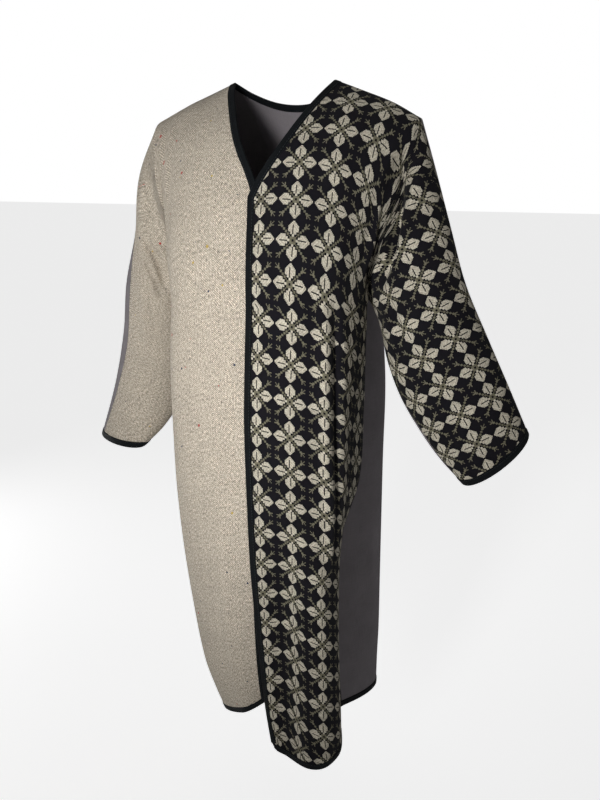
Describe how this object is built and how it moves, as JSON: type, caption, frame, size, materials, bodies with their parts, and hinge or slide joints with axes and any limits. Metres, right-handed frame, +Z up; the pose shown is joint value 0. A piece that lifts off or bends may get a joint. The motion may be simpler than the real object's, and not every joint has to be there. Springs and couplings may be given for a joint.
{
  "type": "open-front abaya coat",
  "caption": "Open-front abaya coat held in its worn shape and empty inside, with one cream tweed front, one leaf-patterned black front, a plain grey back and narrow dark bindings.",
  "frame": {"origin": "midway between the two neck points, at the height where the wearer's shoulders carry the coat", "axes": "+Z up, the wearer faces -Y, +X is the wearer's left"},
  "size_m": [0.7568, 0.3704, 1.0686],
  "materials": {
    "cream_tweed": "herringbone wool tweed with coloured flecks, matt",
    "figured_black": "black cloth with a cream leaf rosette repeat, matt",
    "grey_plain": "plain dark grey suiting, matt",
    "black_binding": "folded black tape, soft sheen"
  },
  "bodies": {
    "root": {"front_right": "cream_tweed", "front_left": "figured_black", "back": "grey_plain", "binding_front_neck": "black_binding", "binding_hem": "black_binding", "binding_cuff_left": "black_binding", "binding_cuff_right": "black_binding"}
  },
  "joints": []
}
